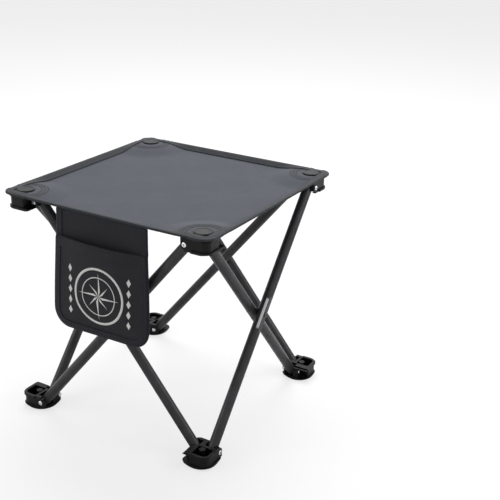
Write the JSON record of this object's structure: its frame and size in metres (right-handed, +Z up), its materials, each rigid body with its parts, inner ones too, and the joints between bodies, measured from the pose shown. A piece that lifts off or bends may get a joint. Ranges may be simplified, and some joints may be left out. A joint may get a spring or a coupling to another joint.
{
  "type": "folding camp stool",
  "caption": "Folding camp stool with crossed tube legs between moulded corner hubs, a square fabric seat and a hanging side pocket.",
  "frame": {"origin": "on the ground under the middle of the open seat", "axes": "+Z up; -Y towards the front, the side that the pocket hangs on; +X to the right as seen from the front"},
  "size_m": [0.347, 0.347, 0.3496],
  "materials": {
    "hub_plastic": "fine moulded texture",
    "tube_metal": "dark satin coat",
    "rivet_metal": "bright plated",
    "spacer_plastic": "satin",
    "cap_plastic": "fine moulded texture",
    "seat_fabric": "close plain weave",
    "pocket_fabric": "coated plain weave",
    "binding_tape": "ribbed tape"
  },
  "bodies": {
    "foot_front_right": {"foot_front_right": "hub_plastic", "foot_rivets_front_right": "rivet_metal"},
    "seat_hub_front_right": {"seat_hub_front_right": "hub_plastic", "hub_rivets_front_right": "rivet_metal", "cap_front_right": "cap_plastic", "seat_corner_front_right": "seat_fabric", "seat_border_right": "seat_fabric"},
    "foot_back_right": {"foot_back_right": "hub_plastic", "foot_rivets_back_right": "rivet_metal"},
    "seat_hub_back_right": {"seat_hub_back_right": "hub_plastic", "hub_rivets_back_right": "rivet_metal", "cap_back_right": "cap_plastic", "seat_corner_back_right": "seat_fabric", "seat_border_back": "seat_fabric"},
    "foot_back_left": {"foot_back_left": "hub_plastic", "foot_rivets_back_left": "rivet_metal"},
    "seat_hub_back_left": {"seat_hub_back_left": "hub_plastic", "hub_rivets_back_left": "rivet_metal", "cap_back_left": "cap_plastic", "seat_corner_back_left": "seat_fabric", "seat_border_left": "seat_fabric"},
    "foot_front_left": {"foot_front_left": "hub_plastic", "foot_rivets_front_left": "rivet_metal"},
    "seat_hub_front_left": {"seat_hub_front_left": "hub_plastic", "hub_rivets_front_left": "rivet_metal", "cap_front_left": "cap_plastic", "seat_corner_front_left": "seat_fabric", "seat_border_front": "seat_fabric"},
    "outer_leg_right": {"outer_leg_right": "tube_metal", "cross_rivet_right": "rivet_metal", "cross_spacer_right": "spacer_plastic"},
    "inner_leg_right": {"inner_leg_right": "tube_metal"},
    "seat_gore_right": {"seat_gore_right": "seat_fabric"},
    "outer_leg_back": {"outer_leg_back": "tube_metal", "cross_rivet_back": "rivet_metal", "cross_spacer_back": "spacer_plastic"},
    "inner_leg_back": {"inner_leg_back": "tube_metal"},
    "seat_gore_back": {"seat_gore_back": "seat_fabric"},
    "outer_leg_left": {"outer_leg_left": "tube_metal", "cross_rivet_left": "rivet_metal", "cross_spacer_left": "spacer_plastic"},
    "inner_leg_left": {"inner_leg_left": "tube_metal"},
    "seat_gore_left": {"seat_gore_left": "seat_fabric"},
    "outer_leg_front": {"outer_leg_front": "tube_metal", "cross_rivet_front": "rivet_metal", "cross_spacer_front": "spacer_plastic"},
    "inner_leg_front": {"inner_leg_front": "tube_metal"},
    "seat_gore_front": {"seat_gore_front": "seat_fabric"},
    "pocket": {"pocket_back": "pocket_fabric", "pocket_front": "pocket_fabric", "pocket_binding": "binding_tape"}
  },
  "joints": [
    {"name": "fold", "type": "hinge", "parent": "foot_front_right", "child": "outer_leg_right", "pos_m": [0.155, -0.1325, 0.013], "axis": [1, 0, 0], "range_deg": [0, 34.5], "deforming": ["seat_gore_right", "seat_gore_back", "seat_gore_left", "seat_gore_front", "seat_border_right", "seat_border_back", "seat_border_left", "seat_border_front", "pocket_back", "pocket_front", "pocket_binding"]},
    {"name": "outer_leg_right_top", "type": "hinge", "parent": "outer_leg_right", "child": "seat_hub_back_right", "pos_m": [0.155, 0.1325, 0.3325], "axis": [-1, 0, 0], "range_deg": [0, 34.5]},
    {"name": "cross_right", "type": "hinge", "parent": "outer_leg_right", "child": "inner_leg_right", "pos_m": [0.147, 0, 0.17275], "axis": [-1, 0, 0], "range_deg": [0, 69]},
    {"name": "inner_leg_right_top", "type": "hinge", "parent": "inner_leg_right", "child": "seat_hub_front_right", "pos_m": [0.139, -0.1325, 0.3325], "axis": [1, 0, 0], "range_deg": [0, 34.5]},
    {"name": "inner_leg_right_foot", "type": "hinge", "parent": "inner_leg_right", "child": "foot_back_right", "pos_m": [0.139, 0.1325, 0.013], "axis": [1, 0, 0], "range_deg": [0, 34.5]},
    {"name": "inner_leg_front_foot", "type": "hinge", "parent": "foot_front_right", "child": "inner_leg_front", "pos_m": [0.1325, -0.139, 0.013], "axis": [0, 1, 0], "range_deg": [0, 34.5]},
    {"name": "inner_leg_front_top", "type": "hinge", "parent": "inner_leg_front", "child": "seat_hub_front_left", "pos_m": [-0.1325, -0.139, 0.3325], "axis": [0, -1, 0], "range_deg": [0, 34.5]},
    {"name": "cross_front", "type": "hinge", "parent": "inner_leg_front", "child": "outer_leg_front", "pos_m": [0, -0.147, 0.17275], "axis": [0, -1, 0], "range_deg": [0, 69]},
    {"name": "outer_leg_front_foot", "type": "hinge", "parent": "outer_leg_front", "child": "foot_front_left", "pos_m": [-0.1325, -0.155, 0.013], "axis": [0, 1, 0], "range_deg": [0, 34.5]},
    {"name": "inner_leg_back_top", "type": "hinge", "parent": "seat_hub_back_right", "child": "inner_leg_back", "pos_m": [0.1325, 0.139, 0.3325], "axis": [0, -1, 0], "range_deg": [0, 34.5]},
    {"name": "outer_leg_left_top", "type": "hinge", "parent": "seat_hub_front_left", "child": "outer_leg_left", "pos_m": [-0.155, -0.1325, 0.3325], "axis": [-1, 0, 0], "range_deg": [0, 34.5]},
    {"name": "outer_leg_back_foot", "type": "hinge", "parent": "foot_back_right", "child": "outer_leg_back", "pos_m": [0.1325, 0.155, 0.013], "axis": [0, 1, 0], "range_deg": [0, 34.5]},
    {"name": "inner_leg_left_foot", "type": "hinge", "parent": "foot_front_left", "child": "inner_leg_left", "pos_m": [-0.139, -0.1325, 0.013], "axis": [1, 0, 0], "range_deg": [0, 34.5]},
    {"name": "outer_leg_back_top", "type": "hinge", "parent": "outer_leg_back", "child": "seat_hub_back_left", "pos_m": [-0.1325, 0.155, 0.3325], "axis": [0, -1, 0], "range_deg": [0, 34.5]},
    {"name": "inner_leg_back_foot", "type": "hinge", "parent": "inner_leg_back", "child": "foot_back_left", "pos_m": [-0.1325, 0.139, 0.013], "axis": [0, 1, 0], "range_deg": [0, 34.5]},
    {"name": "seat_gore_right_drop", "type": "hinge", "parent": "seat_hub_front_right", "child": "seat_gore_right", "pos_m": [0.131, 0, 0.3455], "axis": [0, -1, 0], "range_deg": [0, 82.45]},
    {"name": "seat_gore_back_drop", "type": "hinge", "parent": "seat_hub_back_right", "child": "seat_gore_back", "pos_m": [0, 0.131, 0.3455], "axis": [1, 0, 0], "range_deg": [0, 82.45]},
    {"name": "seat_gore_left_drop", "type": "hinge", "parent": "seat_hub_back_left", "child": "seat_gore_left", "pos_m": [-0.131, 0, 0.3455], "axis": [0, 1, 0], "range_deg": [0, 82.45]},
    {"name": "seat_gore_front_drop", "type": "hinge", "parent": "seat_hub_front_left", "child": "seat_gore_front", "pos_m": [0, -0.131, 0.3455], "axis": [-1, 0, 0], "range_deg": [0, 82.45]},
    {"name": "pocket_swing", "type": "hinge", "parent": "seat_hub_front_left", "child": "pocket", "pos_m": [0, -0.1655, 0.3446], "axis": [-1, 0, 0], "range_deg": [0, 75]}
  ],
  "couplings": [
    {"joint": "outer_leg_right_top", "follows": "fold", "ratio": 1},
    {"joint": "cross_right", "follows": "fold", "ratio": 2},
    {"joint": "inner_leg_right_top", "follows": "fold", "ratio": 1},
    {"joint": "inner_leg_right_foot", "follows": "fold", "ratio": 1},
    {"joint": "inner_leg_front_foot", "follows": "fold", "ratio": 1},
    {"joint": "inner_leg_front_top", "follows": "fold", "ratio": 1},
    {"joint": "cross_front", "follows": "fold", "ratio": 2},
    {"joint": "outer_leg_front_foot", "follows": "fold", "ratio": 1},
    {"joint": "inner_leg_back_top", "follows": "fold", "ratio": 1},
    {"joint": "outer_leg_left_top", "follows": "fold", "ratio": 1},
    {"joint": "outer_leg_back_foot", "follows": "fold", "ratio": 1},
    {"joint": "inner_leg_left_foot", "follows": "fold", "ratio": 1},
    {"joint": "outer_leg_back_top", "follows": "fold", "ratio": 1},
    {"joint": "inner_leg_back_foot", "follows": "fold", "ratio": 1},
    {"joint": "seat_gore_right_drop", "follows": "fold", "ratio": 2.39},
    {"joint": "seat_gore_back_drop", "follows": "fold", "ratio": 2.39},
    {"joint": "seat_gore_left_drop", "follows": "fold", "ratio": 2.39},
    {"joint": "seat_gore_front_drop", "follows": "fold", "ratio": 2.39}
  ]
}
